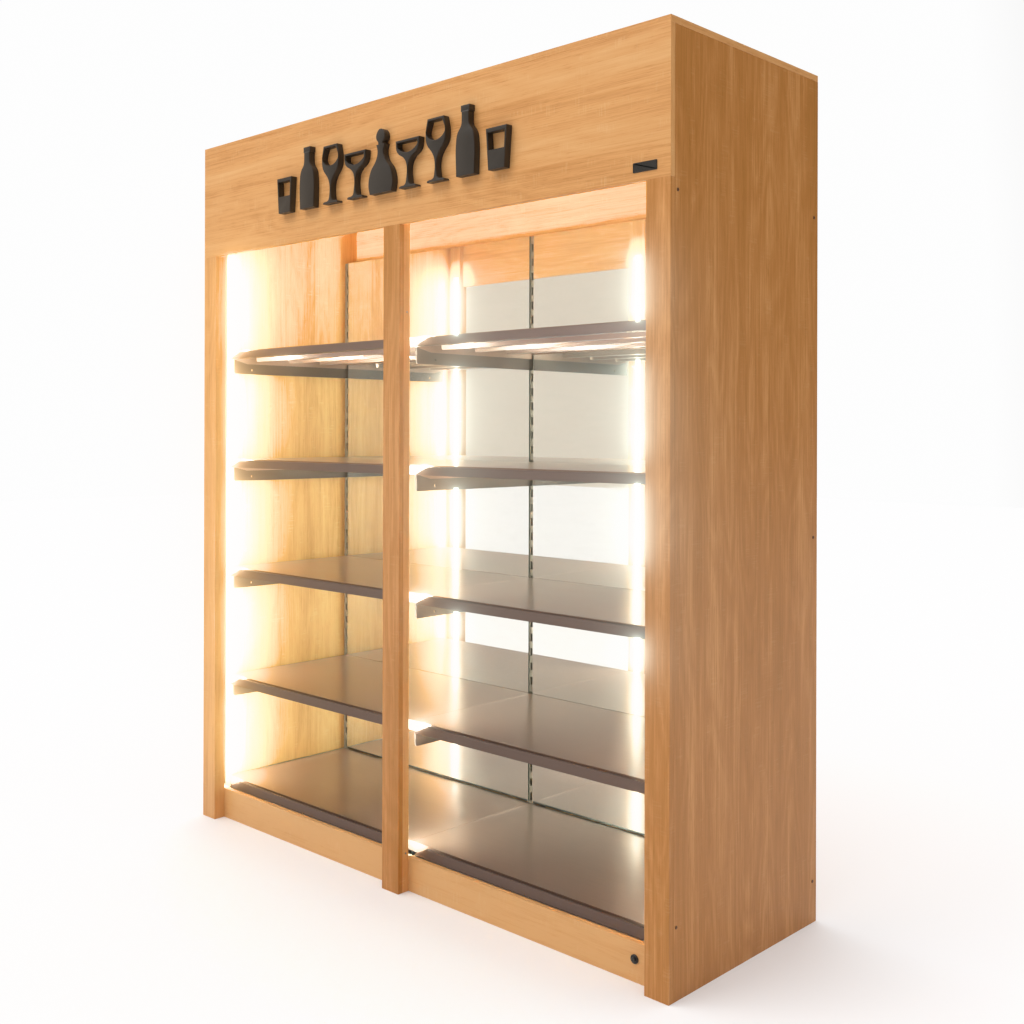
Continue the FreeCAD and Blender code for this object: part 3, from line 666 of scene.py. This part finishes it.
class SHELF_OT_lamps(bpy.types.Operator):
    """Set single lamps along the three LED strips"""
    bl_idname = "shelf.lamps"
    bl_label = "Add Lamps"

    def execute(self, context):
        lamps = context.scene.shelf_lamps
        board = strip_board()
        gel = lamp_phosphor()
        case = moulded_plastic("lamp_case_ppa", "#EDEDE8", "#F6F6F2", roughness=0.5)
        for side in SIDES:
            low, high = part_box(side + "_led_strip")
            dress([side + "_led_strip"], board)
            count = int((high.z - low.z) / lamps.pitch)
            first = (low.z + high.z - (count - 1) * lamps.pitch) / 2
            deselect()
            bpy.ops.mesh.primitive_cube_add(
                size=1, location=((low.x + high.x) / 2, high.y + lamps.rise / 2, first),
                scale=(lamps.side, lamps.rise, lamps.side))
            lamp = context.object
            bpy.ops.object.transform_apply(location=True, rotation=True, scale=True)
            lamp.data.materials.append(case)
            lamp.data.materials.append(gel)
            bpy.ops.object.mode_set(mode="EDIT")
            pick("FACE", lambda face: face.normal.y > SQUARE_ON)
            bpy.ops.mesh.inset(thickness=lamps.rim, depth=-lamps.well)
            lamp.active_material_index = 1
            bpy.ops.object.material_slot_assign()
            bpy.ops.object.mode_set(mode="OBJECT")
            row = lamp.modifiers.new("row", "ARRAY")
            row.count = count
            row.use_relative_offset = False
            row.use_constant_offset = True
            row.constant_offset_displace = (0, 0, lamps.pitch)
            bpy.ops.object.modifier_apply(modifier=row.name)
            settle(lamp, side + "_lamps", case)
        return {"FINISHED"}


class SHELF_OT_sign(bpy.types.Operator):
    """Put a row of raised bottle and glass shapes on the fascia"""
    bl_idname = "shelf.sign"
    bl_label = "Add Sign"

    def execute(self, context):
        sign = context.scene.shelf_sign
        paint = lacquer("dark_brown_lacquer", sign.paint, roughness=0.42)
        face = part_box("fascia_board")[0].y
        step = (sign.right - sign.left) / (len(SIGN_ROW) - 1)
        for i, (outer, hole) in enumerate(SIGN_ROW):
            deselect()
            place = (sign.left + i * step, face - sign.depth / 2, sign.foot)
            bpy.ops.curve.primitive_bezier_circle_add(location=place, rotation=(math.pi / 2, 0, 0))
            flat = context.object.data
            flat.splines.clear()
            flat.dimensions = "2D"
            flat.fill_mode = "BOTH"
            flat.resolution_u = CURVE_STEPS
            draw_outline(flat, outer)
            if hole:
                draw_outline(flat, hole)
            flat.bevel_depth = sign.edge
            flat.bevel_resolution = 1
            flat.offset = -sign.edge
            flat.extrude = sign.depth / 2 - sign.edge
            bpy.ops.object.convert(target="MESH")
            bpy.ops.object.mode_set(mode="EDIT")
            bpy.ops.mesh.select_all(action="SELECT")
            bpy.ops.mesh.remove_doubles(threshold=SAME_POINT * MM)
            bpy.ops.mesh.normals_make_consistent(inside=False)
            bpy.ops.object.mode_set(mode="OBJECT")
            bpy.ops.object.shade_smooth_by_angle(angle=SMOOTH_ANGLE)
            settle(context.object, "sign_shape_%d" % (i + 1), paint)
        return {"FINISHED"}


class SHELF_OT_plate(bpy.types.Operator):
    """Fix the bare black plate to the fascia"""
    bl_idname = "shelf.plate"
    bl_label = "Add Plate"

    def execute(self, context):
        trim = context.scene.shelf_trim
        low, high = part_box("fascia_board")
        size = (trim.plate_width, trim.plate_thickness, trim.plate_height)
        middle = (high.x - trim.plate_inset - trim.plate_width / 2, low.y - trim.plate_thickness / 2,
                  low.z + trim.plate_rise + trim.plate_height / 2)
        deselect()
        bpy.ops.mesh.primitive_cube_add(size=1, location=middle, scale=size)
        bpy.ops.object.transform_apply(location=True, rotation=True, scale=True)
        bpy.ops.object.mode_set(mode="EDIT")
        pick("EDGE", lambda edge: abs((edge.verts[0].co - edge.verts[1].co).y) > trim.plate_thickness / 2)
        bpy.ops.mesh.bevel(offset=trim.plate_corner, segments=4)
        pick("FACE", lambda face: face.normal.y < -SQUARE_ON)
        bpy.ops.mesh.inset(thickness=trim.plate_chamfer, depth=trim.plate_chamfer)
        bpy.ops.mesh.inset(thickness=trim.plate_border, depth=0.0)
        bpy.ops.mesh.inset(thickness=trim.plate_sink, depth=-trim.plate_sink)
        settle(context.object, "bare_plate", lacquer("black_anodised_plate", trim.plate, roughness=0.3))
        return {"FINISHED"}


class SHELF_OT_screws(bpy.types.Operator):
    """Set screw caps into the side panels and small screws into the centre batten"""
    bl_idname = "shelf.screws"
    bl_label = "Add Screws"

    def execute(self, context):
        trim = context.scene.shelf_trim
        brown = moulded_plastic("brown_screw_cap", "#5B3A20", "#73492A", roughness=0.4)
        zinc = bpy.data.materials["zinc_plated_steel"]
        front = CAD_BOX[0].y
        spots = [(trim.cap_front, height) for height in CAP_HEIGHTS_FRONT]
        spots += [(trim.cap_back, height) for height in CAP_HEIGHTS_BACK]
        for side, hand in (("left", -1), ("right", 1)):
            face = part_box(side + "_side_panel")[0 if hand < 0 else 1].x
            for i, (depth, height) in enumerate(spots):
                place = (face + hand * trim.cap_rise / 2, front + depth, height * MM)
                cap = screw_head(place, (0, hand * math.pi / 2, 0), trim.cap_radius, trim.cap_rise)
                settle(cap, "%s_screw_cap_%d" % (side, i + 1), brown)
        low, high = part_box("centre_post_batten")
        for i, height in enumerate(BATTEN_SCREW_HEIGHTS):
            place = (high.x + trim.screw_rise / 2, (low.y + high.y) / 2, height * MM)
            screw = screw_head(place, (0, math.pi / 2, 0), trim.screw_radius, trim.screw_rise)
            settle(screw, "batten_screw_%d" % (i + 1), zinc)
        return {"FINISHED"}


# Stage

def add_floor(stage):
    """A wide pale floor."""
    deselect()
    bpy.ops.mesh.primitive_plane_add(size=stage.floor, location=(0, 0, 0))
    floor = bpy.context.object
    floor.name = "studio_floor"
    made, tree, shader = new_material("pale_matt_floor")
    feed(tree, shader, {"Base Color": stage.floor_tone, "Roughness": 0.9})
    floor.data.materials.append(made)
    return floor


def add_sky(stage):
    """Soft light from all round, brighter above."""
    world = bpy.data.worlds.new("studio_sky")
    bpy.context.scene.world = world
    world.use_nodes = True
    tree = world.node_tree
    way = node(tree, "SeparateXYZ", {"Vector": node(tree, "TexCoord").outputs["Generated"]}).outputs
    tone = stage.sky_left
    for axis, low, high, name in SKY_TURNS:
        turned = node(tree, "MapRange", {"Value": way[axis], "From Min": low, "From Max": high}).outputs[0]
        tone = node(tree, "Mix", {0: turned, 6: tone, 7: getattr(stage, name)}, data_type="RGBA").outputs[2]
    # The last turn is the one upwards.
    strength = weighted(tree, 1.0, [(turned, stage.sky_top)])
    feed(tree, tree.nodes["Background"], {"Color": tone, "Strength": strength})


def add_key_light(stage):
    """A large soft light over the front."""
    bpy.ops.object.light_add(type="AREA", location=stage.key_place)
    key = bpy.context.object
    key.name = "key_light"
    key.data.shape = "RECTANGLE"
    key.data.size = stage.key_width
    key.data.size_y = stage.key_depth
    key.data.energy = stage.key_power
    aim = Vector(stage.key_aim) - key.location
    key.rotation_euler = aim.to_track_quat("-Z", "Y").to_euler()


def add_floor_light(stage, floor):
    """Soft light from above that reaches the floor alone."""
    bpy.ops.object.light_add(type="SUN")
    wash = bpy.context.object
    wash.name = "floor_light"
    wash.data.energy = stage.wash_power
    wash.data.angle = stage.wash_angle
    lit = bpy.data.collections.new("lit_floor")
    lit.objects.link(floor)
    wash.light_linking.receiver_collection = lit


def pane_light(name, low, high, depth, facing, power, spread, light):
    """A flat upright light over a box's width and height, facing forward (-1) or back (1).

    One that faces back shows in the mirrors, and one that faces forward doesn't."""
    place = ((low.x + high.x) / 2, depth, (low.z + high.z) / 2)
    bpy.ops.object.light_add(type="AREA", location=place, rotation=(facing * math.pi / 2, 0, 0))
    made = bpy.context.object
    made.name = name
    made.data.shape = "RECTANGLE"
    made.data.size = high.x - low.x
    made.data.size_y = high.z - low.z
    made.data.energy = power
    made.data.color = light[:3]
    made.data.spread = spread
    made.visible_camera = False
    made.visible_glossy = facing > 0
    return made


def set_aside(name, nodes):
    """A set of pieces that a light passes by."""
    made = bpy.data.collections.new(name)
    for piece in nodes:
        made.objects.link(NODES[piece])
    for held in made.collection_objects:
        held.light_linking.link_state = "EXCLUDE"
    return made


def add_shelf_lights(stage, lamps):
    """The strips' light, and flat lights for what the mirrors throw back of it."""
    passed_by = set_aside("unlit_rails", RAILS)
    wide = math.pi
    for side in SIDES:
        low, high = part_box(side + "_led_strip")
        strip = pane_light(side + "_strip_light", low, high, high.y + stage.strip_gap, 1, lamps.power, wide,
                           lamps.light)
        strip.light_linking.receiver_collection = passed_by
        mirror_low, mirror_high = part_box("left_mirror")
        low.z, high.z = mirror_low.z, mirror_high.z
        pane_light(side + "_post_mirrored_light", low, high, mirror_low.y - stage.mirror_gap, -1,
                   stage.post_power, stage.post_spread, lamps.light)
    for bay in BAYS:
        low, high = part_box(bay + "_mirror")
        high.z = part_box("top_panel")[0].z
        pane_light(bay + "_mirrored_light", low, high, low.y - stage.mirror_gap, -1, stage.fill_power, wide,
                   stage.fill_light)


def add_camera(stage):
    """A camera at the front right, with its frame shifted."""
    bpy.ops.object.camera_add(location=stage.camera)
    camera = bpy.context.object
    turn = Euler((math.pi / 2 + stage.pitch, 0, stage.heading), "XYZ").to_matrix()
    tilt = Euler((0, 0, -stage.roll), "XYZ").to_matrix()
    camera.rotation_euler = (turn @ tilt).to_euler()
    camera.data.lens = stage.lens
    camera.data.sensor_width = SENSOR
    camera.data.shift_x = stage.shift_x
    camera.data.shift_y = stage.shift_y
    bpy.context.scene.camera = camera


def set_tones(scene, stage):
    """Let the lamps glow, and show light over white as a soft white."""
    scene.view_settings.view_transform = "Standard"
    scene.use_nodes = True
    tree = scene.node_tree
    seen = tree.nodes["Render Layers"].outputs["Image"]
    bloom = node(tree, "Glare", {"Image": seen, "Threshold": stage.bloom_from, "Clamp": True,
                                 "Maximum": stage.bloom_most, "Strength": stage.bloom,
                                 "Size": stage.bloom_size}, glare_type="BLOOM").outputs["Image"]
    parts = node(tree, "SeparateColor", {"Image": bloom}).outputs
    held = {"red": parts["Red"], "green": parts["Green"], "blue": parts["Blue"]}
    for name, operation, first, second in TONE_STEPS:
        taken = {0: held.get(first, first), 1: held.get(second, second)}
        held[name] = node(tree, "Math", taken, operation=operation).outputs[0]
    white = colour("#FFFFFF")
    softer = node(tree, "MixRGB", {0: 1.0, 1: bloom, 2: held["scale"]}, blend_type="MULTIPLY").outputs[0]
    whiter = node(tree, "MixRGB", {0: held["white"], 1: softer, 2: held["kept"]}).outputs[0]
    clipped = node(tree, "MixRGB", {0: 1.0, 1: bloom, 2: white}, blend_type="DARKEN").outputs[0]
    shown = node(tree, "MixRGB", {0: stage.softness, 1: clipped, 2: whiter}).outputs[0]
    tree.links.new(shown, tree.nodes["Composite"].inputs["Image"])


class SHELF_OT_stage(bpy.types.Operator):
    """Add the floor, the soft studio light and the camera"""
    bl_idname = "shelf.stage"
    bl_label = "Set Stage"

    def execute(self, context):
        stage = context.scene.shelf_stage
        floor = add_floor(stage)
        add_sky(stage)
        add_key_light(stage)
        add_floor_light(stage, floor)
        add_shelf_lights(stage, context.scene.shelf_lamps)
        add_camera(stage)
        set_tones(context.scene, stage)
        return {"FINISHED"}


OPERATORS = (SHELF_OT_boards, SHELF_OT_metalwork, SHELF_OT_mirrors, SHELF_OT_electrics, SHELF_OT_lamps,
             SHELF_OT_sign, SHELF_OT_plate, SHELF_OT_screws, SHELF_OT_stage)


class SHELF_PT_panel(bpy.types.Panel):
    """Steps of the shelf and their settings"""
    bl_idname = "SHELF_PT_panel"
    bl_label = "Lit Liquor Shelf"
    bl_space_type = "VIEW_3D"
    bl_region_type = "UI"
    bl_category = "Shelf"

    def draw(self, context):
        for operator in OPERATORS:
            self.layout.operator(operator.bl_idname)
        for name, group in GROUPS.items():
            section = self.layout.box()
            section.label(text=group.__doc__)
            for key in group.__annotations__:
                section.prop(getattr(context.scene, name), key)


def register():
    for made in (*GROUPS.values(), *OPERATORS, SHELF_PT_panel):
        bpy.utils.register_class(made)
    for name, group in GROUPS.items():
        setattr(bpy.types.Scene, name, PointerProperty(type=group))


def unregister():
    for name in GROUPS:
        delattr(bpy.types.Scene, name)
    for made in (SHELF_PT_panel, *OPERATORS, *GROUPS.values()):
        bpy.utils.unregister_class(made)


def main():
    register()
    for operator in OPERATORS:
        family, step = operator.bl_idname.split(".")
        getattr(getattr(bpy.ops, family), step)()


if __name__ == "__main__":
    main()
